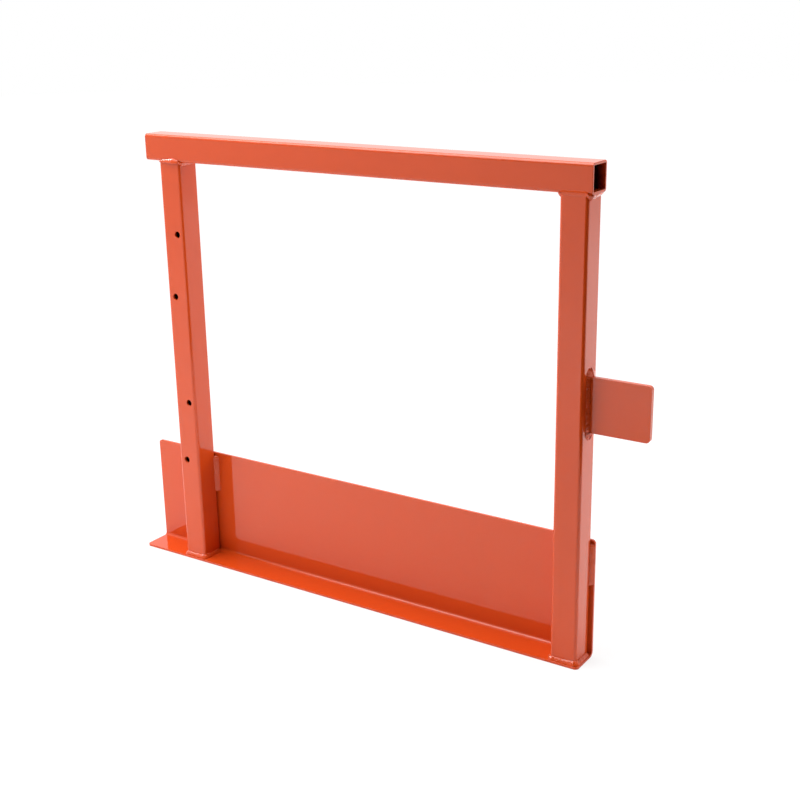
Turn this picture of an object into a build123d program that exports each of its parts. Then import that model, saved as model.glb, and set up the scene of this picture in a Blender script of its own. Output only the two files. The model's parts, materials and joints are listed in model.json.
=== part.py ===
from build123d import *
import os

# Welded swing-gate leaf for a barrier: a square-tube top rail on two square-tube posts, an L-bent sheet
# toe board along the floor, and a stop plate that closes against the frame.
# +X runs from the hinge post to the latch post, +Y from the front to the back, +Z up.
# The origin is on the floor, under the middle of the whole leaf's outer box. Sizes are in millimetres.

os.makedirs("parts", exist_ok=True)

# Driving dimensions --------------------------------------------------------------------------------

# Square tube of the rail and both posts
tube_side = 35.0
tube_wall = 3.0
tube_outer_radius = 4.0
tube_inner_radius = 1.0

# Toe board: one sheet bent to an L
sheet_thickness = 3.0
toe_length = 705.0
toe_height = 155.0
flange_depth = 44.0
bend_inner_radius = 4.0
sheet_corner_radius = 5.0

# Posts
post_gap = 1.0  # between the posts' backs and the kick plate
hinge_post_inset = 74.0  # from the toe board's left end to the hinge post
latch_post_inset = 4.5  # from the latch post to the toe board's right end
foot_relief = 0.3  # clearance between a post's bevelled foot and the sheet's bend

# Top rail
rail_underside_height = 572.0
rail_overhang = 22.5  # past the hinge post

# Hinge bolt holes: two pairs, each pair on a diagonal
hinge_hole_diameter = 9.0
hinge_hole_shift = 11.0  # across the post, from the lower hole of a pair to the upper one
hinge_hole_rise = 86.4  # up the post, from the lower hole of a pair to the upper one
hinge_pattern_offset = 1.0  # pair centres lie this far to the right of the post's middle
lower_hinge_height = 194.5
upper_hinge_height = 431.8

# Stop plate
stop_reach = 76.5  # from the latch post's side
stop_height = 67.0
stop_thickness = 6.0
stop_bottom_height = 297.3
stop_corner_radius = 5.0

# Weld beads
weld_leg = 4.5  # across the flange or the rail's underside
weld_rise = 6.0  # along the post
weld_toe = 0.4  # thickness that a bead thins out to
stitch_leg = 4.0
stitch_length = 55.0
stitch_drop = 4.5  # from the kick plate's top edge to a stitch weld
stop_weld_leg = 5.0
stop_weld_wrap = 8.0  # past the stop plate's top and bottom edges

# Places worked out from the driving dimensions ------------------------------------------------------

overall_length = toe_length - latch_post_inset + stop_reach
toe_left = -overall_length / 2
toe_right = toe_left + toe_length
front = -flange_depth / 2
back = flange_depth / 2

plate_front = back - sheet_thickness
bend_start = plate_front - bend_inner_radius
tube_back = plate_front - post_gap
tube_middle = tube_back - tube_side / 2
tube_front = tube_back - tube_side

hinge_post_left = toe_left + hinge_post_inset
hinge_post_middle = hinge_post_left + tube_side / 2
latch_post_right = toe_right - latch_post_inset
latch_post_middle = latch_post_right - tube_side / 2
post_length = rail_underside_height - sheet_thickness

rail_left = hinge_post_left - rail_overhang
rail_length = toe_right - rail_left
rail_middle_height = rail_underside_height + tube_side / 2

stop_middle_height = stop_bottom_height + stop_height / 2
stitch_top = toe_height - stitch_drop


def tube_outline(extra=0.0):
    """The tube's outer outline, grown by extra all round, in the current sketch."""
    RectangleRounded(tube_side + 2 * extra, tube_side + 2 * extra, tube_outer_radius + extra)


def tube_section():
    """The tube's wall in the current sketch."""
    bore = tube_side - 2 * tube_wall
    tube_outline()
    RectangleRounded(bore, bore, tube_inner_radius, mode=Mode.SUBTRACT)


def rail_plane():
    """The rail's section plane, at its left end: sketch x is +Y, sketch y is +Z."""
    return Plane(origin=(rail_left, tube_middle, rail_middle_height), x_dir=(0, 1, 0), z_dir=(1, 0, 0))


def post_plane(post_middle, height):
    """A level plane across a post at a height: sketch x is +X, sketch y is +Y."""
    return Plane(origin=(post_middle, tube_middle, height))


# Top rail -----------------------------------------------------------------------------------------

with BuildPart() as top_rail:
    with BuildSketch(rail_plane()):
        tube_section()
    extrude(amount=rail_length)

# Posts --------------------------------------------------------------------------------------------


def plain_post(post_middle):
    """A post with no holes: tube standing on the flange, its foot's back edge bevelled."""
    with BuildPart() as post:
        with BuildSketch(post_plane(post_middle, sheet_thickness)):
            tube_section()
        extrude(amount=post_length)
        # The bevel clears the inside of the toe board's bend
        reach = bend_inner_radius - post_gap
        rise = bend_inner_radius - (bend_inner_radius**2 - reach**2) ** 0.5
        post_left = post_middle - tube_side / 2
        foot_edge = (post_left, tube_back, sheet_thickness)
        with BuildSketch(Plane(origin=foot_edge, x_dir=(0, 1, 0), z_dir=(1, 0, 0))):
            with BuildLine():
                Polyline((-reach - foot_relief, 0), (0, 0), (0, rise + foot_relief), close=True)
            make_face()
        extrude(amount=tube_side, mode=Mode.SUBTRACT)
    return post.part


with BuildPart() as latch_post:
    add(plain_post(latch_post_middle))

with BuildPart() as hinge_post:
    add(plain_post(hinge_post_middle))
    # Hinge bolt holes, through the front wall only
    with BuildSketch(Plane(origin=(hinge_post_middle, tube_front, 0), x_dir=(1, 0, 0), z_dir=(0, -1, 0))):
        for pair_height in (lower_hinge_height, upper_hinge_height):
            for end in (-0.5, 0.5):
                hole_x = hinge_pattern_offset + end * hinge_hole_shift
                hole_height = pair_height + end * hinge_hole_rise
                with Locations((hole_x, hole_height)):
                    Circle(hinge_hole_diameter / 2)
    extrude(amount=-tube_side / 2, mode=Mode.SUBTRACT)

# Toe board ----------------------------------------------------------------------------------------

with BuildPart() as toe_board:
    with BuildSketch(Plane.YZ.offset(toe_left)):
        with BuildLine():
            FilletPolyline(
                (front, 0), (back, 0), (back, toe_height), radius=bend_inner_radius + sheet_thickness
            )
            offset(amount=sheet_thickness, side=Side.LEFT)
        make_face()
    extrude(amount=toe_length)
    flange_corners = toe_board.edges().filter_by(Axis.Z).group_by(Axis.Y)[0]
    plate_corners = toe_board.edges().filter_by(Axis.Y).group_by(Axis.Z)[-1]
    fillet(flange_corners + plate_corners, radius=sheet_corner_radius)

# Stop plate ---------------------------------------------------------------------------------------

with BuildPart() as stop_plate:
    stop_root = (latch_post_right, tube_middle, stop_middle_height)
    with BuildSketch(Plane(origin=stop_root, x_dir=(1, 0, 0), z_dir=(0, -1, 0))):
        Rectangle(stop_reach, stop_height, align=(Align.MIN, Align.CENTER))
    extrude(amount=stop_thickness / 2, both=True)
    fillet(stop_plate.edges().filter_by(Axis.Y).group_by(Axis.X)[-1], radius=stop_corner_radius)


# Weld beads ---------------------------------------------------------------------------------------


def cut_off(edge_point, away):
    """Take away what lies beyond a point in the direction away, from the current part."""
    split(bisect_by=Plane(origin=edge_point, z_dir=away), keep=Keep.BOTTOM)


def foot_weld(post_middle):
    """A fillet bead round a post's front and sides, on the flange."""
    with BuildPart() as bead:
        with BuildSketch(post_plane(post_middle, sheet_thickness)):
            tube_outline(weld_leg)
        with BuildSketch(post_plane(post_middle, sheet_thickness + weld_rise)):
            tube_outline(weld_toe)
        loft(ruled=True)
        with BuildSketch(post_plane(post_middle, sheet_thickness)):
            tube_outline()
        extrude(amount=weld_rise, mode=Mode.SUBTRACT)
        cut_off((0, bend_start, 0), (0, 1, 0))
    return bead.part


def top_weld(post_middle):
    """A bead round a post's top: fillets at its sides, and metal in the groove under the rail's corners."""
    with BuildPart() as bead:
        with BuildSketch(post_plane(post_middle, rail_underside_height - weld_rise)):
            tube_outline(weld_toe)
        with BuildSketch(post_plane(post_middle, rail_underside_height)):
            tube_outline(weld_leg)
        loft(ruled=True)
        with BuildSketch(post_plane(post_middle, rail_underside_height)):
            tube_outline(weld_leg)
        extrude(amount=tube_outer_radius)
        with BuildSketch(post_plane(post_middle, rail_underside_height - weld_rise)):
            tube_outline()
        extrude(amount=weld_rise, mode=Mode.SUBTRACT)
        with BuildSketch(rail_plane()):
            tube_outline()
        extrude(amount=rail_length, mode=Mode.SUBTRACT)
        cut_off((0, tube_front, 0), (0, -1, 0))
        cut_off((0, tube_back, 0), (0, 1, 0))
    return bead.part


def stitch_weld(post_middle, side):
    """A short upright bead in the flare between a post's back corner and the kick plate."""
    post_side = post_middle + side * tube_side / 2
    root = post_side - side * tube_outer_radius
    toe = post_side + side * stitch_leg
    with BuildPart() as bead:
        with BuildSketch(Plane.XY.offset(stitch_top - stitch_length)):
            with BuildLine():
                Polyline(
                    (root, plate_front),
                    (toe, plate_front),
                    (post_side, tube_back - tube_outer_radius),
                    (root, tube_back - tube_outer_radius),
                    close=True,
                )
            make_face()
        extrude(amount=stitch_length)
        with BuildSketch(post_plane(post_middle, stitch_top - stitch_length)):
            tube_outline()
        extrude(amount=stitch_length, mode=Mode.SUBTRACT)
    return bead.part


def stop_outline(across, along):
    """The stop plate's end outline, grown across its thickness and along its height."""
    Rectangle(stop_thickness + 2 * across, stop_height + 2 * along)


def stop_section_plane(distance):
    """A plane across the stop plate, this far out from the latch post: sketch x is +Y."""
    origin = (latch_post_right + distance, tube_middle, stop_middle_height)
    return Plane(origin=origin, x_dir=(0, 1, 0), z_dir=(1, 0, 0))


with BuildPart() as stop_plate_weld:
    with BuildSketch(stop_section_plane(0)):
        stop_outline(stop_weld_leg, stop_weld_wrap)
    with BuildSketch(stop_section_plane(stop_weld_leg)):
        stop_outline(weld_toe, weld_toe)
    loft(ruled=True)
    with BuildSketch(stop_section_plane(0)):
        stop_outline(0, 0)
    extrude(amount=stop_weld_leg, mode=Mode.SUBTRACT)

welds = {"stop_plate_weld": stop_plate_weld.part}
for post_name, middle in (("hinge_post", hinge_post_middle), ("latch_post", latch_post_middle)):
    welds[f"{post_name}_top_weld"] = top_weld(middle)
    welds[f"{post_name}_foot_weld"] = foot_weld(middle)
    welds[f"{post_name}_left_stitch_weld"] = stitch_weld(middle, -1)
    welds[f"{post_name}_right_stitch_weld"] = stitch_weld(middle, 1)

# Export -------------------------------------------------------------------------------------------

top_rail.part.label = "top_rail"
export_step(top_rail.part, "parts/top_rail.step")

hinge_post.part.label = "hinge_post"
export_step(hinge_post.part, "parts/hinge_post.step")

latch_post.part.label = "latch_post"
export_step(latch_post.part, "parts/latch_post.step")

toe_board.part.label = "toe_board"
export_step(toe_board.part, "parts/toe_board.step")

stop_plate.part.label = "stop_plate"
export_step(stop_plate.part, "parts/stop_plate.step")

for node_name, bead in welds.items():
    bead.label = node_name
    export_step(bead, f"parts/{node_name}.step")
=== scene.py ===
# %% [markdown]
# # A welded gate leaf in orange enamel
# A gate leaf is the part of a gate that swings. This one is five pieces of steel and nine runs of weld,
# all under one coat of glossy orange enamel: a square-tube top rail on two square-tube posts, a toe board
# bent from one sheet, and a stop plate that meets the frame when the gate shuts.
#
# The engineering model is already packed as a fixed frame. It holds every size and place. The lesson
# builds a finer skin over it: rounded cut edges, weld beads with ripples, and paint that looks sprayed.

# %% Load the frame
import json
import math

import bmesh
import bpy
from mathutils import Matrix, Vector


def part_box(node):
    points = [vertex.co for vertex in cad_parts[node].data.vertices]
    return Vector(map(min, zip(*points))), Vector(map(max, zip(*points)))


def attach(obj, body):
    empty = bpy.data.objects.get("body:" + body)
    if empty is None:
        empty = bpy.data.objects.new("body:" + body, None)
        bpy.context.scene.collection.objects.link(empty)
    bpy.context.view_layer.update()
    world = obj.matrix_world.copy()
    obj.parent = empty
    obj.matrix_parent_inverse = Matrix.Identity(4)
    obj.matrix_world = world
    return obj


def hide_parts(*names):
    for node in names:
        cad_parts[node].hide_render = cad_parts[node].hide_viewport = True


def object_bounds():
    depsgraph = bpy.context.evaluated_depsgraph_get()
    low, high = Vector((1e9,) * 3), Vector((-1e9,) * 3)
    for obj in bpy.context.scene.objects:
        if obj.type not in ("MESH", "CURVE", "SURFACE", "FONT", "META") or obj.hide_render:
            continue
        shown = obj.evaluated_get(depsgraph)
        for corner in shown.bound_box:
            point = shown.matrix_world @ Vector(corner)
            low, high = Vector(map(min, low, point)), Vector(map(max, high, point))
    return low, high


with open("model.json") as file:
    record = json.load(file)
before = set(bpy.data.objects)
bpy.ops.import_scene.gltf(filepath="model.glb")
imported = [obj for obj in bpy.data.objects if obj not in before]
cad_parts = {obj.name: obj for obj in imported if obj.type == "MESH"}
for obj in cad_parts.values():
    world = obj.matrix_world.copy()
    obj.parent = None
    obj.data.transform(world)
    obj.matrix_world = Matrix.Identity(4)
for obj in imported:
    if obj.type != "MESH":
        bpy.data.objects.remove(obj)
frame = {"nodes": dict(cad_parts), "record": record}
cad_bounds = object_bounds()
print("frame nodes:", sorted(frame["nodes"]))

# %% [markdown]
# ## Sizes
# Blender works in metres here, so a small factor turns a maker's millimetres into metres. Places are read
# from the boxes of the frame's nodes, and never typed in, so the skin follows the frame if a size changes.
# Only what a box can't tell is named here: the tube's wall and corners, the sheet's bend and the welds.

# %% Read the places from the frame
MM = 0.001

rail_low, rail_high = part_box("top_rail")
hinge_low, hinge_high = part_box("hinge_post")
latch_low, latch_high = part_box("latch_post")
board_low, board_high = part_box("toe_board")
stop_low, stop_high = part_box("stop_plate")

tube_side = rail_high.z - rail_low.z
tube_wall = 3 * MM
tube_corner = 4 * MM
sheet_thickness = hinge_low.z
bend_outer = 7 * MM
sheet_corner = 5 * MM
plate_front = board_high.y - sheet_thickness
print(f"tube {tube_side / MM:.0f} mm, sheet {sheet_thickness / MM:.0f} mm thick")

# %% [markdown]
# ## The camera
# The leaf is seen from its front and its right, from a little above the rail. Three coordinates would place
# the camera too, but where to aim, how far away to stand and two angles are easier to think in. A long lens
# keeps the uprights nearly parallel. A tilt of about one degree is a turn about the line of sight.

# %% Set up the camera
aim_right = 52.5 * MM
aim_below = 9.9 * MM
camera_distance = 1.6372
camera_azimuth = math.radians(33.62)
camera_elevation = math.radians(17.90)
camera_tilt = math.radians(-0.98)
camera_lens = 58.63


def direction(azimuth, elevation):
    """The way to a place seen from the leaf. Azimuth 0 is the front, and 90 degrees the right."""
    level = math.cos(elevation)
    return Vector((math.sin(azimuth) * level, -math.cos(azimuth) * level, math.sin(elevation)))


def facing_back(way):
    """The turn that points a camera or a light back along the way to it."""
    return (-way).to_track_quat("-Z", "Y").to_matrix().to_4x4()


leaf_middle = (Vector(cad_bounds[0]) + Vector(cad_bounds[1])) / 2
aim = leaf_middle + Vector((aim_right, 0, -aim_below))
to_camera = direction(camera_azimuth, camera_elevation)
lens = bpy.data.cameras.new("camera")
lens.sensor_width = 36
lens.lens = camera_lens
camera = bpy.data.objects.new("camera", lens)
bpy.context.scene.collection.objects.link(camera)
looking = facing_back(to_camera) @ Matrix.Rotation(camera_tilt, 4, "Z")
camera.matrix_world = Matrix.Translation(aim + to_camera * camera_distance) @ looking
bpy.context.scene.camera = camera
bpy.context.scene.view_settings.view_transform = "Standard"
print("camera stands at", tuple(round(n, 3) for n in camera.matrix_world.translation))

# %% [markdown]
# ## Nodes as Python
# Shaders and Geometry Nodes are both trees of nodes, and drawing them in code is long-winded. Two small
# classes make it read like arithmetic. A `Wire` is the output of a node, and adding or multiplying two
# wires adds a Math node, or a Vector Math node where a vector is involved. `Tree.add` makes any other
# node from its type, its settings and the values or wires of its sockets, in that order, because some
# settings change which sockets there are.

# %% Wrap sockets and trees
class Wire:
    """A node's output, on which Python's operators add nodes."""

    def __init__(self, tree, socket):
        self.tree, self.socket = tree, socket

    def other(self, name):
        """Another output of the same node."""
        return Wire(self.tree, self.socket.node.outputs[name])

    def is_vector(self):
        return self.socket.type == "VECTOR"

    def combine(self, operation, first, second):
        vectors = [isinstance(v, Vector) or (isinstance(v, Wire) and v.is_vector()) for v in (first, second)]
        if operation == "MULTIPLY" and any(vectors) and not all(vectors):
            vector, number = (first, second) if vectors[0] else (second, first)
            return self.tree.add("ShaderNodeVectorMath", {"operation": "SCALE"}, {0: vector, "Scale": number})
        kind = "ShaderNodeVectorMath" if any(vectors) else "ShaderNodeMath"
        return self.tree.add(kind, {"operation": operation}, {0: first, 1: second})

    def __add__(self, value):
        return self.combine("ADD", self, value)

    def __radd__(self, value):
        return self.combine("ADD", value, self)

    def __sub__(self, value):
        return self.combine("SUBTRACT", self, value)

    def __rsub__(self, value):
        return self.combine("SUBTRACT", value, self)

    def __mul__(self, value):
        return self.combine("MULTIPLY", self, value)

    def __rmul__(self, value):
        return self.combine("MULTIPLY", value, self)

    def __truediv__(self, value):
        return self.combine("DIVIDE", self, value)

    def __rtruediv__(self, value):
        return self.combine("DIVIDE", value, self)

    def __pow__(self, value):
        return self.combine("POWER", self, value)


class Tree:
    """A node tree that adds nodes by type, settings and sockets."""

    def __init__(self, tree):
        self.tree = tree
        tree.nodes.clear()

    def add(self, kind, settings=None, sockets=None, output=0):
        """Adds a node and returns one of its outputs, or nothing for an output node."""
        node = self.tree.nodes.new(kind)
        for name, value in (settings or {}).items():
            setattr(node, name, value)
        for name, value in (sockets or {}).items():
            if isinstance(value, Wire):
                self.tree.links.new(value.socket, node.inputs[name])
            else:
                node.inputs[name].default_value = value
        return Wire(self, node.outputs[output]) if len(node.outputs) else None

    def math(self, operation, *values, clamp=False):
        """A Math node for what has no operator."""
        settings = {"operation": operation, "use_clamp": clamp}
        return self.add("ShaderNodeMath", settings, dict(enumerate(values)))

    def cross(self, first, second):
        return self.add("ShaderNodeVectorMath", {"operation": "CROSS_PRODUCT"}, {0: first, 1: second})

    def normalised(self, vector):
        return self.add("ShaderNodeVectorMath", {"operation": "NORMALIZE"}, {0: vector})

    def mixed_colour(self, share, first, second):
        """A colour between two colours."""
        sockets = {"Factor": share, "A": first, "B": second}
        return self.add("ShaderNodeMix", {"data_type": "RGBA"}, sockets, output=2)

    def noise(self, where, scale, detail=2.0, roughness=0.5):
        """A soft random pattern from 0 to 1."""
        sockets = {"Vector": where, "Scale": scale, "Detail": detail, "Roughness": roughness}
        return self.add("ShaderNodeTexNoise", sockets=sockets)


print("node helpers ready")

# %% [markdown]
# ## Orange enamel
# The leaf is sprayed with a solid orange enamel and stoved. Three things tell the eye that it is paint on
# steel, and not coloured plastic: a clear, mirror-like top layer over a softer one, the faint pebbling
# that sprayers call orange peel, and a very slight change of depth where the coat is thicker.
#
# A Principled shader has the two layers ready, as its base and its coat. The coat carries all the shine, so
# the base's own specular is off. The pebbling and the sheet's slow waviness are heights, added up in metres
# and given to one Bump node. All patterns read Object coordinates, which stay with the part.

# %% Mix the enamel
enamel_colour = (0.61, 0.067, 0.009, 1.0)
enamel_deep = (0.58, 0.061, 0.008, 1.0)
peel_size = 1.6 * MM
peel_height = 0.006 * MM
wave_size = 55 * MM
wave_height = 0.015 * MM
cloud_size = 110 * MM
base_roughness = 0.30
cloud_roughness = 0.08
scale_roughness = 0.7


def enamel_bump(tree, where):
    """Orange peel and slow waves, as a bent normal."""
    peel = tree.noise(where, 1 / peel_size, detail=2.5, roughness=0.6)
    waves = tree.noise(where, 1 / wave_size, detail=1.0)
    height = peel * peel_height + waves * wave_height
    return tree.add("ShaderNodeBump", sockets={"Height": height, "Distance": 1.0})


def orange_enamel(name, bore_darkening=None):
    """Glossy orange paint over steel. Bore darkening says where the paint gives way to bare steel with
    painted shade.
    """
    material = bpy.data.materials.new(name)
    material.use_nodes = True
    tree = Tree(material.node_tree)
    where = tree.add("ShaderNodeTexCoord").other("Object")
    clouds = tree.noise(where, 1 / cloud_size, detail=3.0)
    colour = tree.mixed_colour(clouds, enamel_deep, enamel_colour)
    roughness, coat = base_roughness + clouds * cloud_roughness, 1.0
    # Inside the tubes the colour turns a near-black red: bare steel, darkened further as painted shade.
    if bore_darkening:
        dark_share = bore_darkening(tree, where)
        scale = tree.noise(where, 1 / scale_size, detail=4.0)
        colour = tree.mixed_colour(dark_share, colour, tree.mixed_colour(scale, bare_and_shaded_dark, bare_and_shaded_light))
        roughness, coat = roughness * (1.0 - dark_share) + dark_share * scale_roughness, 1.0 - dark_share
    shader = tree.add(
        "ShaderNodeBsdfPrincipled",
        sockets={
            "Base Color": colour,
            "Roughness": roughness,
            "IOR": 1.5,
            "Specular IOR Level": 0.0,
            "Coat Weight": coat,
            "Coat Roughness": 0.035,
            "Coat IOR": 1.45,
            "Normal": enamel_bump(tree, where),
        },
    )
    tree.add("ShaderNodeOutputMaterial", sockets={"Surface": shader})
    return material


enamel = orange_enamel("orange_enamel")
print("made material", enamel.name)

# %% [markdown]
# ## Where the paint stops, and the bore's painted shade
# Paint is sprayed from outside, so it reaches only a few millimetres into an open tube. Behind that the
# bore is mill scale under a thin mist of paint. Its colour is a near-black red, which also paints in the
# shade that fills the bore, since little light gets into a tube. That is why the end of the rail looks so
# dark. The tubes carry an attribute that is 1 on their inside. In the rail this painted darkening fades in
# with the distance from the nearer end, and in the posts, which are closed at both ends, the whole inside
# is dark.

# %% Mix the tubes' enamel
# Near-black reds for the tubes' insides: bare steel, with the bore's shade painted in.
bare_and_shaded_dark = (0.030, 0.006, 0.003, 1.0)
bare_and_shaded_light = (0.080, 0.015, 0.007, 1.0)
scale_size = 6 * MM
darkening_start = 1 * MM
darkening_end = 11 * MM


def rail_bore_darkening(tree, where):
    """Bare steel with painted shade inside the rail, fading in from either end."""
    x = tree.add("ShaderNodeSeparateXYZ", sockets={0: where}).other("X")
    depth = tree.math("MINIMUM", x - rail_low.x, rail_high.x - x)
    fade = tree.add(
        "ShaderNodeMapRange",
        {"interpolation_type": "SMOOTHSTEP"},
        {"Value": depth, "From Min": darkening_start, "From Max": darkening_end},
    )
    return post_bore_darkening(tree, where) * fade


def post_bore_darkening(tree, where):
    """Bare steel with painted shade all over the inside."""
    return tree.add("ShaderNodeAttribute", {"attribute_name": "inside"}).other("Fac")


rail_enamel = orange_enamel("orange_enamel_rail", rail_bore_darkening)
post_enamel = orange_enamel("orange_enamel_post", post_bore_darkening)
print("made materials", rail_enamel.name, post_enamel.name)

# %% [markdown]
# ## Running a Geometry Nodes tree
# A tree is a recipe with named inputs. `new_recipe` makes an empty one and `bake_recipe` runs it on a
# starting mesh, then keeps the result as a plain mesh with no modifier left. The named inputs mean that
# one recipe makes every tube, and another every weld.

# %% Helpers for recipes and finished pieces
def new_recipe(name, inputs):
    """An empty Geometry Nodes tree and wires for its named inputs."""
    group = bpy.data.node_groups.new(name, "GeometryNodeTree")
    kinds = {"vector": "NodeSocketVector", "number": "NodeSocketFloat", "material": "NodeSocketMaterial"}
    group.interface.new_socket("Geometry", in_out="INPUT", socket_type="NodeSocketGeometry")
    for label, kind in inputs.items():
        group.interface.new_socket(label, in_out="INPUT", socket_type=kinds[kind])
    group.interface.new_socket("Geometry", in_out="OUTPUT", socket_type="NodeSocketGeometry")
    tree = Tree(group)
    start = tree.add("NodeGroupInput")
    return tree, {label: start.other(label) for label in ["Geometry", *inputs]}


def end_recipe(tree, geometry, material):
    """Closes a tree with real geometry, smooth shading and a material."""
    real = tree.add("GeometryNodeRealizeInstances", sockets={"Geometry": geometry})
    smooth = tree.add("GeometryNodeSetShadeSmooth", sockets={"Geometry": real, "Shade Smooth": True})
    painted = tree.add("GeometryNodeSetMaterial", sockets={"Geometry": smooth, "Material": material})
    tree.add("NodeGroupOutput", sockets={"Geometry": painted})


def place(name, mesh):
    """A new object at the origin that shows a mesh."""
    piece = bpy.data.objects.new(name, mesh)
    bpy.context.scene.collection.objects.link(piece)
    return piece


def settle(piece):
    """Turns a piece's modifiers into plain mesh."""
    depsgraph = bpy.context.evaluated_depsgraph_get()
    evaluated = piece.evaluated_get(depsgraph)
    mesh = bpy.data.meshes.new_from_object(evaluated, preserve_all_data_layers=True, depsgraph=depsgraph)
    piece.modifiers.clear()
    piece.data = mesh
    return piece


def bake_recipe(name, tree, start_mesh, values):
    """Runs a recipe on a mesh with these inputs."""
    piece = place(name, start_mesh)
    modifier = piece.modifiers.new("recipe", "NODES")
    modifier.node_group = tree.tree
    for socket in tree.tree.interface.items_tree:
        if socket.in_out == "INPUT" and socket.name in values:
            modifier[socket.identifier] = values[socket.name]
    return settle(piece)


def face_outwards(mesh):
    """Joins doubled points and turns every face outwards."""
    shell = bmesh.new()
    shell.from_mesh(mesh)
    bmesh.ops.remove_doubles(shell, verts=shell.verts, dist=0.001 * MM)
    bmesh.ops.recalc_face_normals(shell, faces=shell.faces)
    open_edges = sum(not edge.is_manifold for edge in shell.edges)
    shell.to_mesh(mesh)
    shell.free()
    return open_edges


def dress(piece, node):
    """Hands a finished piece to the frame in place of a node."""
    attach(piece, "root")
    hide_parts(node)
    print(f"{piece.name}: {len(piece.data.polygons)} faces")


print("recipe helpers ready")

# %% [markdown]
# ## Softened edges
# Steel is deburred before it is painted, and enamel rounds what is left, so no edge is razor sharp. A
# Bevel modifier rounds every edge sharper than a limit and leaves the many small steps of a curve alone.
# Weighted normals then keep the wide flat faces reading as flat, so only the rounding catches the light.

# %% Soften the edges of a piece
def soften(piece, radius):
    """Rounds a piece's sharp edges and keeps its flats flat."""
    bevel = piece.modifiers.new("soft edges", "BEVEL")
    bevel.width = radius
    bevel.segments = 3
    bevel.limit_method = "ANGLE"
    bevel.angle_limit = math.radians(40)
    normals = piece.modifiers.new("flat faces", "WEIGHTED_NORMAL")
    normals.keep_sharp = True
    return settle(piece)


cut_edge = 0.5 * MM
print(f"cut edges are rounded to {cut_edge / MM} mm")

# %% [markdown]
# ## Square tube
# The rail and both posts are one stock: square tube with rounded corners. It could be modelled by
# filleting a box and hollowing it, but a rule is shorter. Take a grid. Its columns go once round the
# tube's outline and its rows once round the wall's own section: outside, far end, inside, near end. Each
# corner is an arc about a point that the outside and the inside share, so going inwards only shortens the
# arc's radius.
#
# The starting mesh holds a point wherever a hole is drilled. A cylinder goes on each point and is cut
# away, so the hinge holes and the tube come from the same recipe.

# %% Write the tube recipe
corner_steps = 8
points_round = 4 * (corner_steps + 1)

tube_recipe, tube_in = new_recipe(
    "square_tube",
    {
        "Start": "vector",
        "End": "vector",
        "Sideways": "vector",
        "Side": "number",
        "Wall": "number",
        "Corner radius": "number",
        "Hole diameter": "number",
        "Hole direction": "vector",
        "Enamel": "material",
    },
)


def write_tube_recipe(tree, given):
    """Fills the tube recipe: a grid laid round the wall, less a cylinder at each drilled point."""
    grid = tree.add(
        "GeometryNodeMeshGrid",
        sockets={"Size X": points_round, "Size Y": 4.0, "Vertices X": points_round + 1, "Vertices Y": 5},
    )
    spot = tree.add("ShaderNodeSeparateXYZ", sockets={0: tree.add("GeometryNodeInputPosition")})
    column = tree.math("ROUND", spot.other("X") + points_round / 2)
    column = tree.math("MODULO", column, float(points_round))
    row = tree.math("ROUND", spot.other("Y") + 2.0)
    # Rows 1 and 2 lie at the far end, rows 2 and 3 on the inside
    far = tree.math("COMPARE", row, 1.5, 0.6)
    inside = tree.math("COMPARE", row, 2.5, 0.6)
    corner = tree.math("FLOOR", column / float(corner_steps + 1))
    step = column - corner * float(corner_steps + 1)
    turn = (corner + step / float(corner_steps)) * (math.pi / 2)
    diagonal = (corner + 0.5) * (math.pi / 2)
    radius = given["Corner radius"] - inside * given["Wall"]
    core = given["Side"] / 2 - given["Corner radius"]
    across = tree.math("SIGN", tree.math("COSINE", diagonal)) * core + tree.math("COSINE", turn) * radius
    along_other = tree.math("SIGN", tree.math("SINE", diagonal)) * core + tree.math("SINE", turn) * radius
    axis = given["End"] - given["Start"]
    upward = tree.normalised(tree.cross(axis, given["Sideways"]))
    where = given["Start"] + axis * far + given["Sideways"] * across + upward * along_other
    marked = tree.add(
        "GeometryNodeStoreNamedAttribute", sockets={"Geometry": grid, "Name": "inside", "Value": inside}
    )
    wall = tree.add("GeometryNodeSetPosition", sockets={"Geometry": marked, "Position": where})
    wall = tree.add("GeometryNodeMergeByDistance", sockets={"Geometry": wall, "Distance": 0.001 * MM})

    drill = tree.add(
        "GeometryNodeMeshCylinder",
        sockets={"Vertices": 48, "Radius": given["Hole diameter"] / 2, "Depth": given["Side"]},
    )
    through = {"Vector": given["Hole direction"]}
    towards = tree.add("FunctionNodeAlignRotationToVector", {"axis": "Z"}, through)
    spots = tree.add("GeometryNodeMeshToPoints", sockets={"Mesh": given["Geometry"]})
    drills = tree.add(
        "GeometryNodeInstanceOnPoints", sockets={"Points": spots, "Instance": drill, "Rotation": towards}
    )
    drills = tree.add("GeometryNodeRealizeInstances", sockets={"Geometry": drills})
    drilled = tree.add(
        "GeometryNodeMeshBoolean",
        {"operation": "DIFFERENCE", "solver": "EXACT"},
        {"Mesh 1": wall, "Mesh 2": drills},
    )
    end_recipe(tree, drilled, given["Enamel"])


write_tube_recipe(tube_recipe, tube_in)
print("tube recipe has", len(tube_recipe.tree.nodes), "nodes")

# %% [markdown]
# ## The hinge holes
# The hinges bolt to the hinge post's front wall with two bolts each, set on a diagonal. The frame's record
# holds each bolt pattern's middle and the circle that its holes lie on. What it doesn't hold is how far
# the diagonal leans, so that is one named size here.

# %% Find the drilled points
hole_shift = 11 * MM


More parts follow.
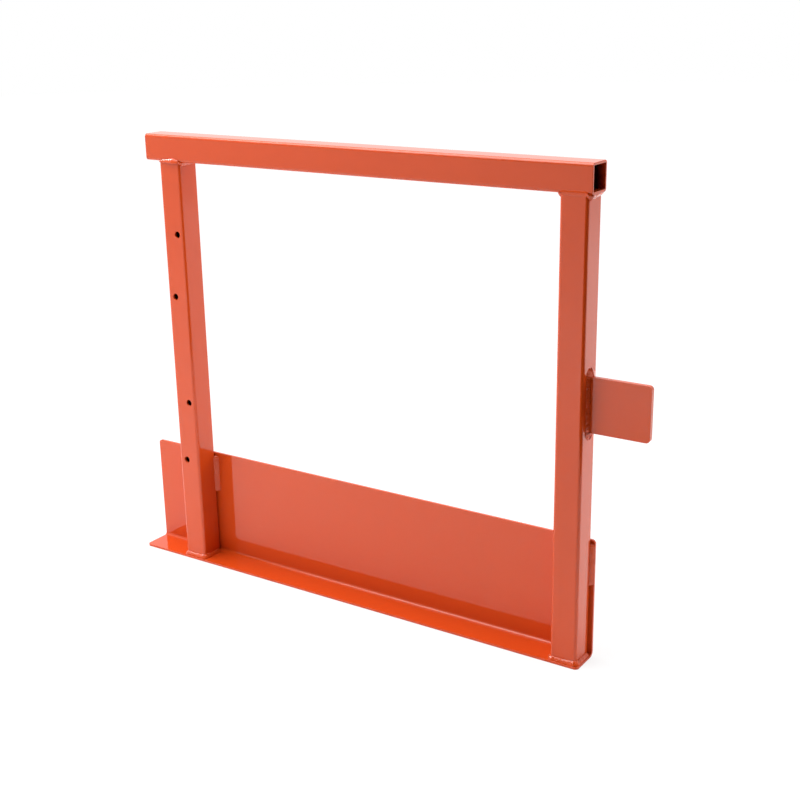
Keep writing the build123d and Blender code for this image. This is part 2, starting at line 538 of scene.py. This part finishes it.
def bolt_spots():
    """The middle of every hinge hole, and the holes' diameter."""
    spots = []
    for mount in frame["record"]["mounts"]:
        if mount["kind"] != "bolt_pattern":
            continue
        middle = Vector(mount["pos_m"])
        circle = mount["dims"]["pcd_mm"] * MM
        rise = math.sqrt(circle**2 - hole_shift**2)
        spots += [middle + Vector((hole_shift, 0, rise)) * side for side in (-0.5, 0.5)]
        diameter = 2 * mount["dims"]["hole_r_mm"] * MM
    return spots, diameter


hinge_spots, hole_diameter = bolt_spots()
print(len(hinge_spots), "holes of", round(hole_diameter / MM, 1), "mm")

# %% [markdown]
# ## The rail and the posts
# The rail and the posts are sawn from the same stock, and differ only in where they run and in their holes.
# Each could be a mesh of its own. One function that runs the tube recipe between two points serves all
# three, and the two points come from the node's box, so that a tube fills it exactly.

# %% Cut the rail and the posts to length
def square_tube(name, start, end, sideways, paint, holes=()):
    """A length of square tube between two points on its middle line."""
    drilled = bpy.data.meshes.new(name)
    drilled.from_pydata([tuple(hole) for hole in holes], [], [])
    sizes = {
        "Start": start,
        "End": end,
        "Sideways": sideways,
        "Side": tube_side,
        "Wall": tube_wall,
        "Corner radius": tube_corner,
        "Hole diameter": hole_diameter,
        "Hole direction": (0.0, -1.0, 0.0),
        "Enamel": paint,
    }
    piece = bake_recipe(name, tube_recipe, drilled, sizes)
    print(name, "open edges:", face_outwards(piece.data))
    return soften(piece, cut_edge)


def post(name, low, high, holes=()):
    """An upright tube that fills a post's box."""
    middle_x, middle_y = (low.x + high.x) / 2, (low.y + high.y) / 2
    ends = (middle_x, middle_y, low.z), (middle_x, middle_y, high.z)
    return square_tube(name, *ends, (1.0, 0.0, 0.0), post_enamel, holes)


tube_middle_y = (rail_low.y + rail_high.y) / 2
rail_middle_z = (rail_low.z + rail_high.z) / 2
rail = square_tube(
    "rail_tube",
    (rail_low.x, tube_middle_y, rail_middle_z),
    (rail_high.x, tube_middle_y, rail_middle_z),
    (0.0, 1.0, 0.0),
    rail_enamel,
)
hinge_post = post("hinge_post_tube", hinge_low, hinge_high, hinge_spots)
latch_post = post("latch_post_tube", latch_low, latch_high)
dress(rail, "top_rail")
dress(hinge_post, "hinge_post")
dress(latch_post, "latch_post")

# %% [markdown]
# ## Sheet pieces
# The toe board and the stop plate are both cut from flat steel. They could be extruded outlines, but both
# are the same thing to a mesh: a ladder of rows, where each row is a slice straight across the sheet with
# four corners. Rounded sheet corners come from shortening the first rows along an arc. Because the rows
# are few, each flat stays one clean face.

# %% Build a sheet from rows
def ladder(name, rows):
    """A closed mesh from rows of four corners each, softened along its edges."""
    corners = [corner for row in rows for corner in row]
    faces = []
    for number in range(len(rows) - 1):
        first = 4 * number
        for side in range(4):
            beside = (side + 1) % 4
            faces.append((first + side, first + beside, first + 4 + beside, first + 4 + side))
    faces.append((0, 3, 2, 1))
    last = 4 * (len(rows) - 1)
    faces.append((last, last + 1, last + 2, last + 3))
    mesh = bpy.data.meshes.new(name)
    mesh.from_pydata(corners, [], faces)
    mesh.materials.append(enamel)
    print(name, "open edges:", face_outwards(mesh))
    mesh.shade_smooth()
    return soften(place(name, mesh), cut_edge)


def corner_rows(radius, steps=8):
    """How far each row of a rounded end lies from the edge, and how much shorter it is at each side."""
    for step in range(steps + 1):
        turn = step / steps * math.pi / 2
        yield radius * (1 - math.cos(turn)), radius * (1 - math.sin(turn))


# %% [markdown]
# ## The toe board
# The toe board keeps feet and tools from sliding under the gate. It is one sheet with a flange on the
# floor, a bend, and an upright kick plate. A Simple Deform modifier could bend a flat sheet, but turning the
# ladder's rows about the bend's centre gives the exact radius.

# %% Fold the toe board
bend_steps = 14
bend_centre_y = board_high.y - bend_outer
bend_centre_z = board_low.z + bend_outer


def board_row(inner, outer, shorter=0.0):
    """A row of the toe board from two points of its section, as (y, z)."""
    left, right = board_low.x + shorter, board_high.x - shorter
    return [(left, *inner), (right, *inner), (right, *outer), (left, *outer)]


def board_rows():
    """The toe board's rows, from the flange's front edge, through the bend, to the plate's top."""
    top, bottom = board_low.z + sheet_thickness, board_low.z
    rows = []
    for distance, shorter in corner_rows(sheet_corner):
        y = board_low.y + distance
        rows.append(board_row((y, top), (y, bottom), shorter))
    for step in range(bend_steps + 1):
        turn = step / bend_steps * math.pi / 2
        inner = bend_outer - sheet_thickness
        y_share, z_share = math.sin(turn), -math.cos(turn)
        rows.append(
            board_row(
                (bend_centre_y + inner * y_share, bend_centre_z + inner * z_share),
                (bend_centre_y + bend_outer * y_share, bend_centre_z + bend_outer * z_share),
            )
        )
    for distance, shorter in reversed(list(corner_rows(sheet_corner))):
        z = board_high.z - distance
        rows.append(board_row((plate_front, z), (board_high.y, z), shorter))
    return rows


toe_board = ladder("toe_board_sheet", board_rows())
dress(toe_board, "toe_board")

# %% [markdown]
# ## The stop plate
# The stop plate is a short flat bar with its two free corners rounded off. The same ladder makes it, with
# its rows running out from the latch post.

# %% Cut the stop plate
def stop_rows():
    """The stop plate's rows, from the latch post out to its free end."""
    outline = [(stop_low.x, 0.0)]
    for distance, shorter in reversed(list(corner_rows(sheet_corner))):
        outline.append((stop_high.x - distance, shorter))
    rows = []
    for x, shorter in outline:
        low, high = stop_low.z + shorter, stop_high.z - shorter
        section = ((stop_low.y, low), (stop_high.y, low), (stop_high.y, high), (stop_low.y, high))
        rows.append([(x, y, z) for y, z in section])
    return rows


stop_plate = ladder("stop_plate_bar", stop_rows())
dress(stop_plate, "stop_plate")

# %% [markdown]
# ## Weld beads
# A bead is laid by moving a pool of molten steel along a joint. It is widest where the welder lingers, it
# freezes in small overlapping ripples, and it rounds off where it starts and stops. That is a path with a
# rule along it, which suits Geometry Nodes.
#
# The recipe lays a grid along the path. Across the grid runs the bead's section: one leg on the base, one
# leg climbing the wall, a crown bulging between them, and a root sunk out of sight in the joint. An angle
# of 90 degrees between the legs makes a fillet, and 180 degrees makes a bead on a flush joint. Along the
# grid, ripples and slower lumps make the bead swell.

# %% Write the weld recipe
weld_recipe, weld_in = new_recipe(
    "weld_bead",
    {
        "Climb": "vector",
        "Base leg": "number",
        "Wall leg": "number",
        "Crown": "number",
        "Root": "number",
        "Angle": "number",
        "Ripple length": "number",
        "Ripple depth": "number",
        "Lumps": "number",
        "Taper": "number",
        "Lean": "number",
        "Closed": "number",
        "Rows": "number",
        "Seed": "number",
        "Enamel": "material",
    },
)
section_points = 16
seen_share = 0.75
end_slack = 0.01 * MM
ripple_lag = 0.35
ripple_wander = 1.4
wander_rate = 0.45
ripple_sharpness = 0.8
ripple_middle = 0.6
ripples_in_lump = 3.2
lump_seed_step = 3.7
ripples_in_fade = 1.5


def write_weld_recipe(tree, given):
    """Fills the weld recipe: a grid laid along the path and shaped by the legs, crown and ripples."""
    rows = tree.math("ROUND", given["Rows"])
    grid = tree.add(
        "GeometryNodeMeshGrid",
        sockets={"Size X": 1.0, "Size Y": 1.0, "Vertices X": rows, "Vertices Y": section_points + 1},
    )
    spot = tree.add("ShaderNodeSeparateXYZ", sockets={0: tree.add("GeometryNodeInputPosition")})
    along = tree.math("ADD", spot.other("X"), 0.5, clamp=True)
    around = tree.math("ADD", spot.other("Y"), 0.5, clamp=True)

    path = tree.add("GeometryNodeMeshToCurve", sockets={"Mesh": given["Geometry"]})
    swelling = tree.add("GeometryNodeInputNamedAttribute", {"data_type": "FLOAT"}, {"Name": "swell"})
    on_path = tree.add(
        "GeometryNodeSampleCurve",
        {"data_type": "FLOAT", "mode": "FACTOR", "use_all_curves": True},
        {"Curves": path, "Value": swelling, "Factor": along},
    )
    swell, joint, forward = on_path, on_path.other("Position"), on_path.other("Tangent")
    length = tree.add("GeometryNodeCurveLength", sockets={"Curve": path})
    travelled = along * length

    outward = tree.normalised(tree.cross(forward, given["Climb"]))

    def turned(angle):
        """The direction that lies this far round from the climb."""
        return outward * tree.math("SINE", angle) + given["Climb"] * tree.math("COSINE", angle)

    base_way = turned(given["Angle"])
    crown_way = turned(given["Angle"] / 2)

    # The seen part of the section runs from the base leg's toe, over the crown, to the wall leg's toe
    seen = tree.math("DIVIDE", around, seen_share, clamp=True)
    turn = seen * (math.pi / 2)
    on_base = tree.math("COSINE", turn) ** 2.0
    on_wall = tree.math("SINE", turn) ** 2.0
    bulge = tree.math("SINE", seen ** given["Lean"] * math.pi)
    # The hidden part comes back through the root
    hidden = tree.math("DIVIDE", around - seen_share, 1 - seen_share, clamp=True)
    root_share = 1.0 - tree.math("ABSOLUTE", hidden * 2.0 - 1.0)
    back_wall = tree.math("SUBTRACT", 1.0, hidden * 2.0, clamp=True)
    back_base = tree.math("SUBTRACT", hidden * 2.0, 1.0, clamp=True)
    is_hidden = tree.math("GREATER_THAN", around, seen_share + 0.001)
    base_share = on_base * (1.0 - is_hidden) + back_base * is_hidden
    wall_share = on_wall * (1.0 - is_hidden) + back_wall * is_hidden
    bulge = bulge * (1.0 - is_hidden)
    root_share = root_share * is_hidden

    # Ripples lag at the toes, so each one is a crescent
    wander = tree.add(
        "ShaderNodeTexNoise",
        {"noise_dimensions": "1D"},
        {"W": travelled / given["Ripple length"] * wander_rate + given["Seed"], "Scale": 1.0, "Detail": 1.0},
    )
    phase = travelled / given["Ripple length"] + bulge * ripple_lag + wander * ripple_wander
    hump = tree.math("ABSOLUTE", tree.math("SINE", phase * math.pi)) ** ripple_sharpness
    lump_place = travelled / (given["Ripple length"] * ripples_in_lump) + given["Seed"] * lump_seed_step
    slow = tree.add(
        "ShaderNodeTexNoise",
        {"noise_dimensions": "1D"},
        {"W": lump_place, "Scale": 1.0, "Detail": 2.0},
    )
    # The first and last rows shrink to a point. On a closed path they meet, so the pattern fades out there
    to_end = tree.math("MAXIMUM", tree.math("MINIMUM", along, 1.0 - along) * length - end_slack, 0.0)
    near_end = tree.math("DIVIDE", to_end, given["Taper"], clamp=True)
    rounding = tree.math("SQRT", 1.0 - (1.0 - near_end) ** 2.0)
    pattern = tree.math("DIVIDE", to_end, given["Ripple length"] * ripples_in_fade, clamp=True)
    size = tree.math("MAXIMUM", rounding, given["Closed"]) * swell
    size = size * (1.0 + (slow - 0.5) * given["Lumps"] * pattern)
    ridge = (hump - ripple_middle) * given["Ripple depth"] * tree.math("POWER", bulge, 0.5) * pattern
    where = (
        joint
        + base_way * (given["Base leg"] * base_share * size)
        + given["Climb"] * (given["Wall leg"] * wall_share * size)
        + crown_way * ((given["Crown"] * bulge - given["Root"] * root_share + ridge) * size)
    )
    bead = tree.add("GeometryNodeSetPosition", sockets={"Geometry": grid, "Position": where})
    bead = tree.add("GeometryNodeMergeByDistance", sockets={"Geometry": bead, "Distance": 0.002 * MM})
    end_recipe(tree, bead, given["Enamel"])


write_weld_recipe(weld_recipe, weld_in)
print("weld recipe has", len(weld_recipe.tree.nodes), "nodes")

# %% [markdown]
# ## Laying a bead
# A path is a list of points, each with its swell: how much larger than usual the bead is there, as where
# the welder pauses at a corner. Round a tube the path is part of the tube's own outline, so the bead's
# legs always lie on the tube.

# %% Lay beads along paths
row_step = 0.24 * MM
bead_toe_angle = math.radians(65)


def lay_bead(name, path, climb, base_leg, wall_leg, seed, **changes):
    """One bead along a path of (point, swell) pairs."""
    points = [Vector(point) for point, _ in path]
    closed = changes.get("Closed", 0.0) > 0
    count = len(points)
    edges = [(n, (n + 1) % count) for n in range(count if closed else count - 1)]
    mesh = bpy.data.meshes.new(name)
    mesh.from_pydata([tuple(point) for point in points], edges, [])
    swell = mesh.attributes.new("swell", "FLOAT", "POINT")
    swell.data.foreach_set("value", [amount for _, amount in path])
    length = sum((points[b] - points[a]).length for a, b in edges)
    values = {
        "Climb": climb,
        "Base leg": base_leg,
        "Wall leg": wall_leg,
        "Crown": 0.7 * MM,
        "Root": 0.4 * MM,
        "Angle": math.radians(90),
        "Ripple length": 2.3 * MM,
        "Ripple depth": 0.35 * MM,
        "Lumps": 0.35,
        "Taper": 3.0 * MM,
        "Lean": 1.0,
        "Closed": 0.0,
        "Rows": float(max(12, round(length / row_step))),
        "Seed": float(seed),
        "Enamel": enamel,
    }
    values.update(changes)
    bead = bake_recipe(name, weld_recipe, mesh, values)
    face_outwards(bead.data)
    return bead


def join_beads(name, beads):
    """Several beads of one weld as one object."""
    weld = bmesh.new()
    for bead in beads:
        weld.from_mesh(bead.data)
        bpy.data.objects.remove(bead)
    mesh = bpy.data.meshes.new(name)
    weld.to_mesh(mesh)
    weld.free()
    mesh.materials.append(enamel)
    mesh.shade_smooth()
    # A bead's toes are sharp, or shading would smear round them into the hidden side
    mesh.set_sharp_from_angle(angle=bead_toe_angle)
    loose = sum(len(edge_faces) != 2 for edge_faces in edge_use(mesh).values())
    print(f"{name}: {len(beads)} beads, {loose} open edges")
    return place(name, mesh)


def edge_use(mesh):
    """The faces on each edge of a mesh."""
    use = {}
    for face in mesh.polygons:
        for key in face.edge_keys:
            use.setdefault(key, []).append(face.index)
    return use


def arc(centre, radius, first, last, height, steps=6):
    """Points of a level arc, its angles in degrees."""
    for step in range(steps + 1):
        turn = math.radians(first + (last - first) * step / steps)
        yield Vector((centre[0] + radius * math.cos(turn), centre[1] + radius * math.sin(turn), height))


print("bead helpers ready")

# %% [markdown]
# ## The feet
# Each post's foot is welded to the flange down both sides and across the front. The bead turns the two
# front corners without stopping. The pool piles up at the right one, which is the fullest place. Four
# separate beads would need joins, so one path goes all the way round.

# %% Weld the feet
foot_leg = 3.7 * MM
foot_rise = 4.6 * MM
foot_swell = {"back": 0.9, "side": 0.95, "left corner": 0.95, "front": 0.88, "right corner": 1.2}
bend_start_y = plate_front - (bend_outer - sheet_thickness)


def foot_path(low, high):
    """Along a post's left side, round its front and back along its right side, at the flange."""
    height = low.z
    left_centre = (low.x + tube_corner, low.y + tube_corner)
    right_centre = (high.x - tube_corner, low.y + tube_corner)
    stretches = (
        ("back", [Vector((low.x, bend_start_y, height))]),
        ("side", [Vector((low.x, 0, height))]),
        ("left corner", arc(left_centre, tube_corner, 195, 255, height)),
        ("front", [Vector(((low.x + high.x) / 2, low.y, height))]),
        ("right corner", arc(right_centre, tube_corner, 285, 345, height)),
        ("side", [Vector((high.x, 0, height))]),
        ("back", [Vector((high.x, bend_start_y, height))]),
    )
    return [(point, foot_swell[place]) for place, points in stretches for point in points]


def weld_foot(name, low, high, seed):
    changes = {"Lumps": 0.4, "Ripple length": 2.7 * MM, "Ripple depth": 0.4 * MM}
    path = foot_path(low, high)
    bead = lay_bead(name + "_bead", path, (0.0, 0.0, 1.0), foot_leg, foot_rise, seed, **changes)
    return join_beads(name, [bead])


dress(weld_foot("hinge_post_foot_bead", hinge_low, hinge_high, 3), "hinge_post_foot_weld")
dress(weld_foot("latch_post_foot_bead", latch_low, latch_high, 11), "latch_post_foot_weld")

# %% [markdown]
# ## The tops
# A post meets the rail's underside. At its two sides that is a fillet in the corner, which the welder
# carries a little way round the post's corners. At the front and the back the post and the rail are flush,
# and the rail's rounded corner leaves a groove, so the bead there fills the groove and bulges out of it.
# The side beads climb into that groove as they turn, so that the four runs read as one ring. The hinge
# post's front bead was left fat, thickest to the right. The latch post's was dressed nearly flush.

# %% Weld the tops
top_leg = 4.5 * MM
top_drop = 6 * MM
groove_up = 4.4 * MM
groove_down = 2.0 * MM
groove_root = 3.2 * MM
groove_peak = 0.7
front_wrap = 75
back_wrap = 50
wrap_steps = 6
wrap_loss = 0.65
wrap_climb = 0.7
back_swell = 0.7
middle_swell = 0.9


def groove_depth(inset):
    """How far the rail's rounded corner lies above its underside, this far in from its face."""
    return tube_corner - math.sqrt(tube_corner**2 - (tube_corner - min(inset, tube_corner)) ** 2)


def side_path(low, high, side, corner_swell):
    """Along one side of a post's top, from its back corner to its front one, as (point, swell)."""
    back_centre = (high.x - tube_corner, high.y - tube_corner)
    front_centre = (high.x - tube_corner, low.y + tube_corner)
    path = [(point, back_swell) for point in arc(back_centre, tube_corner, back_wrap, 0, high.z, steps=3)]
    path.append((Vector((high.x, (low.y + high.y) / 2, high.z)), middle_swell))
    for step, point in enumerate(arc(front_centre, tube_corner, 0, -front_wrap, high.z, wrap_steps)):
        point.z += wrap_climb * groove_depth(point.y - low.y)
        path.append((point, corner_swell * (1 - wrap_loss * step / wrap_steps)))
    if side < 0:
        # The left side is the mirror of the right, and runs the other way
        middle_x = (low.x + high.x) / 2
        path = [(Vector((2 * middle_x - at.x, at.y, at.z)), swell) for at, swell in reversed(path)]
    return path


def side_bead(name, low, high, side, corner_swell, seed):
    """A fillet between one side of a post and the rail's underside."""
    path = side_path(low, high, side, corner_swell)
    changes = {"Root": 1.6 * MM, "Taper": 1.4 * MM, "Lumps": 0.3, "Ripple length": 2.6 * MM}
    changes |= {"Ripple depth": 0.14 * MM, "Crown": 0.9 * MM}
    return lay_bead(name, path, (0.0, 0.0, -1.0), top_leg, top_drop, seed, **changes)


def groove_bead(name, y, outward, low, high, crown, swells, lean, seed):
    """A bead across the front or the back of a post, where it is flush with the rail."""
    path = []
    for share, swell in zip((0.0, groove_peak, 1.0), swells):
        path.append((Vector((low.x + share * (high.x - low.x), y, high.z)), swell))
    if outward > 0:
        path.reverse()
    changes = {"Angle": math.radians(180), "Crown": crown, "Root": groove_root, "Lean": lean}
    changes |= {"Taper": 4 * MM, "Lumps": 0.08, "Ripple depth": 0.02 * MM}
    return lay_bead(name, path, (0.0, 0.0, 1.0), groove_down, groove_up, seed, **changes)


def weld_top(name, low, high, front_crown, front_swells, lean, side_swells, seed):
    """All four beads round a post's top."""
    beads = [
        side_bead(name + "_left", low, high, -1, side_swells[0], seed),
        side_bead(name + "_right", low, high, 1, side_swells[1], seed + 1),
        groove_bead(name + "_front", low.y, -1, low, high, front_crown, front_swells, lean, seed + 2),
        groove_bead(name + "_back", high.y, 1, low, high, 0.8 * MM, (0.9, 1.0, 0.9), 1.0, seed + 3),
    ]
    return join_beads(name, beads)


hinge_top = weld_top(
    "hinge_post_top_bead",
    hinge_low,
    hinge_high,
    front_crown=3.0 * MM,
    front_swells=(0.3, 1.1, 0.6),
    lean=0.55,
    side_swells=(0.55, 0.85),
    seed=21,
)
dress(hinge_top, "hinge_post_top_weld")
latch_top = weld_top(
    "latch_post_top_bead",
    latch_low,
    latch_high,
    front_crown=0.35 * MM,
    front_swells=(0.9, 0.95, 1.05),
    lean=0.8,
    side_swells=(0.8, 1.15),
    seed=31,
)
dress(latch_top, "latch_post_top_weld")

# %% [markdown]
# ## Stitches and the stop plate
# Short upright stitches hold each post's back corners to the kick plate, just under its top edge. The stop
# plate is welded all round its root. Its bead turns sharply over the plate's top and bottom, and the pool
# gathers there into two lumps.

# %% Weld the stitches and the stop plate
stitch_leg = 5.5 * MM
stitch_climb = 5.5 * MM
stitch_length = 55 * MM
stitch_drop = 4.5 * MM


def weld_stitch(name, x, outward, seed):
    """An upright bead between a post's side and the kick plate, no wider than the plate beside the post."""
    room = board_high.x - x if outward > 0 else x - board_low.x
    leg = min(stitch_leg, room - cut_edge)
    top = board_high.z - stitch_drop
    heights = [top, top - stitch_length / 2, top - stitch_length]
    if outward > 0:
        heights.reverse()
    path = [(Vector((x, plate_front, z)), 1.0) for z in heights]
    changes = {"Root": 1.6 * MM, "Lumps": 0.15, "Ripple depth": 0.2 * MM}
    bead = lay_bead(name + "_run", path, (0.0, -1.0, 0.0), leg, stitch_climb, seed, **changes)
    return join_beads(name, [bead])


for number, (post_name, low, high) in enumerate(
    (("hinge_post", hinge_low, hinge_high), ("latch_post", latch_low, latch_high))
):
    for side, x, outward in (("left", low.x, -1), ("right", high.x, 1)):
        stitch = weld_stitch(f"{post_name}_{side}_stitch_bead", x, outward, 41 + 2 * number + outward)
        dress(stitch, f"{post_name}_{side}_stitch_weld")

stop_leg = 6.0 * MM
stop_rise = 2.8 * MM
stop_turn = 1.5 * MM
lump_swell = 1.4
edge_swell = 1.0
run_swell = 0.95
stop_turn_steps = 4
stop_overrun = 3


def stop_path():
    """Round the stop plate's root, with a lump at each corner."""
    path = []
    middle_y = (stop_low.y + stop_high.y) / 2
    stop_middle_z = (stop_low.z + stop_high.z) / 2
    corners = (
        (stop_high.y, stop_high.z, 0),
        (stop_low.y, stop_high.z, 90),
        (stop_low.y, stop_low.z, 180),
        (stop_high.y, stop_low.z, 270),
    )
    for y, z, first in corners:
        inward_y = -stop_turn if y > middle_y else stop_turn
        inward_z = -stop_turn if z > stop_middle_z else stop_turn
        for step in range(stop_turn_steps + 1):
            turn = math.radians(first + 90 * step / stop_turn_steps)
            point = (
                stop_low.x,
                y + inward_y + stop_turn * math.cos(turn),
                z + inward_z + stop_turn * math.sin(turn),
            )
            path.append((Vector(point), lump_swell))
        if first in (0, 180):
            path.append((Vector((stop_low.x, middle_y, z)), edge_swell))
        else:
            # The run reaches past both corners, so the bead doubles back on itself there
            past = stop_overrun * inward_z
            heights = (z - past, stop_middle_z, 2 * stop_middle_z - z + past)
            path += [(Vector((stop_low.x, y, height)), run_swell) for height in heights]
    return path


stop_changes = {"Closed": 1.0, "Taper": 1.0, "Lumps": 0.6, "Crown": 0.5 * MM}
stop_changes |= {"Ripple length": 3.2 * MM, "Ripple depth": 0.4 * MM}
stop_bead = lay_bead("stop_plate_run", stop_path(), (1.0, 0.0, 0.0), stop_leg, stop_rise, 57, **stop_changes)
dress(join_beads("stop_plate_bead", [stop_bead]), "stop_plate_weld")

# %% [markdown]
# ## The studio floor
# Glossy paint is mostly a picture of the room, so the room is as much of the look as the paint. The leaf
# stands on a pale matte floor, which its upright faces reflect. A plain white plane would do for that, but
# it would also show the leaf's shadow. On a brightly lit set the floor washes out to white, so a share of
# plain white is mixed in where the camera itself looks. Reflections still see the matte floor.

# %% Lay the floor
floor_whiteness = 0.8
floor_dark = (0.90, 0.90, 0.90, 1.0)
floor_light = (0.93, 0.93, 0.93, 1.0)
mottle_scale = 1.5
floor_radius = 9.0
floor_gap = 0.2 * MM


def floor_material():
    """Pale matte floor that washes out nearly to white when seen directly."""
    material = bpy.data.materials.new("pale_floor")
    material.use_nodes = True
    tree = Tree(material.node_tree)
    where = tree.add("ShaderNodeTexCoord").other("Object")
    cloud = tree.noise(where, mottle_scale, detail=2.0)
    colour = tree.mixed_colour(cloud, floor_dark, floor_light)
    matte = tree.add("ShaderNodeBsdfPrincipled", sockets={"Base Color": colour, "Roughness": 0.9})
    white = tree.add("ShaderNodeEmission", sockets={"Color": (1, 1, 1, 1), "Strength": 1.0})
    washed_out = tree.add("ShaderNodeLightPath").other("Is Camera Ray") * floor_whiteness
    shader = tree.add("ShaderNodeMixShader", sockets={0: washed_out, 1: matte, 2: white})
    tree.add("ShaderNodeOutputMaterial", sockets={"Surface": shader})
    return material


floor_shell = bmesh.new()
bmesh.ops.create_circle(floor_shell, cap_ends=True, segments=96, radius=floor_radius)
bmesh.ops.translate(floor_shell, verts=floor_shell.verts, vec=(0, 0, cad_bounds[0][2] - floor_gap))
floor_mesh = bpy.data.meshes.new("floor")
floor_shell.to_mesh(floor_mesh)
floor_shell.free()
floor_mesh.materials.append(floor_material())
floor = place("floor", floor_mesh)
print("floor is", 2 * floor_radius, "m across")

# %% [markdown]
# ## The tent and its lights
# A white tent lights a glossy thing softly from all sides. Modelling its cloth would only slow the light
# down, so the world itself is the tent: a roof that is brightest overhead, and walls at the left, the right
# and the back, each a soft lobe of light about its own azimuth. The left one is the brightest.
#
# Three soft lights add to it. A large one hangs over the leaf's left end. A weaker one at the back right
# lifts the faces that look right, and is kept out of reflections. A narrow one far to the left, the glint,
# only shows in reflections, and marks the fat bead at the top of the hinge post.

# %% Light the tent
roof_level = 1.5
wall_levels = {-90: 1.6, 90: 1.1, 180: 1.0}
wall_focus = 3.0


def light_tent():
    """A white roof and three white walls, by azimuth. Azimuth 0 is the front, 90 the right."""
    world = bpy.data.worlds.new("tent")
    world.use_nodes = True
    tree = Tree(world.node_tree)
    way = tree.add("ShaderNodeTexCoord")
    upward = tree.add("ShaderNodeSeparateXYZ", sockets={0: way}).other("Z")
    sky = roof_level * tree.math("MAXIMUM", upward, 0.0)
    for azimuth, level in wall_levels.items():
        turn = math.radians(azimuth)
        towards = {0: way, 1: (math.sin(turn), -math.cos(turn), 0.0)}
        facing = tree.add("ShaderNodeVectorMath", {"operation": "DOT_PRODUCT"}, towards).other("Value")
        sky = sky + level * tree.math("MAXIMUM", facing, 0.0) ** wall_focus
    seen = tree.add("ShaderNodeLightPath").other("Is Camera Ray")
    strength = seen + (1.0 - seen) * sky
    light = tree.add("ShaderNodeBackground", sockets={"Color": (1, 1, 1, 1), "Strength": strength})
    tree.add("ShaderNodeOutputWorld", sockets={"Surface": light})
    bpy.context.scene.world = world


def softbox(name, azimuth, elevation, distance, size, power):
    """A rectangular soft light that points at the leaf, by azimuth and elevation in degrees."""
    light = bpy.data.lights.new(name, "AREA")
    light.shape = "RECTANGLE"
    light.size, light.size_y = size
    light.energy = power
    way = direction(math.radians(azimuth), math.radians(elevation))
    lamp = bpy.data.objects.new(name, light)
    bpy.context.scene.collection.objects.link(lamp)
    lamp.matrix_world = Matrix.Translation(leaf_middle + way * distance) @ facing_back(way)
    lamp.visible_camera = False
    return lamp


light_tent()
softbox("overhead", azimuth=-55, elevation=66, distance=1.9, size=(1.6, 1.6), power=42)
fill = softbox("fill", azimuth=125, elevation=15, distance=3.0, size=(1.5, 1.5), power=20)
fill.visible_glossy = False
glint = softbox("glint", azimuth=-78, elevation=29, distance=4.0, size=(1.0, 1.4), power=95)
glint.visible_diffuse = False

# %% [markdown]
# ## The black card
# A curved black card stands towards the camera. Rounded edges that face it pick up a dark line, which makes
# them read as edges. It also keeps light off the near end of the leaf, so the orange deepens towards the
# right. A flat card would show a hard edge in the paint, so this one bends round the leaf and turns clear
# at its ends. The camera looks through it.

# %% Stand a black card towards the camera
card_radius = 0.95
card_height = 2.2
card_middle = math.radians(52)
card_spread = math.radians(52)
card_steps = 24
card_hardness = 4.0


def black_card():
    """A curved black card, soft at its ends, that shades the leaf and shows in reflections."""
    card = bpy.data.meshes.new("black_card")
    corners, shades = [], []
    for step in range(card_steps + 1):
        share = 2 * step / card_steps - 1
        turn = card_middle + card_spread * share
        for z in (0.0, card_height):
            corners.append((card_radius * math.sin(turn), -card_radius * math.cos(turn), z))
            shades.append(1 - abs(share))
    faces = [(2 * n, 2 * n + 2, 2 * n + 3, 2 * n + 1) for n in range(card_steps)]
    card.from_pydata(corners, [], faces)
    shade = card.attributes.new("shade", "FLOAT", "POINT")
    shade.data.foreach_set("value", shades)
    material = bpy.data.materials.new("black_card")
    material.use_nodes = True
    tree = Tree(material.node_tree)
    amount = tree.add("ShaderNodeAttribute", {"attribute_name": "shade"}).other("Fac")
    solid = tree.math("MULTIPLY", amount, card_hardness, clamp=True)
    clear = tree.add("ShaderNodeBsdfTransparent")
    black = tree.add("ShaderNodeBsdfDiffuse", sockets={"Color": (0.01, 0.01, 0.01, 1)})
    mixed = tree.add("ShaderNodeMixShader", sockets={0: solid, 1: clear, 2: black})
    tree.add("ShaderNodeOutputMaterial", sockets={"Surface": mixed})
    card.materials.append(material)
    piece = place("black_card", card)
    piece.visible_camera = False


black_card()
print("black card up")
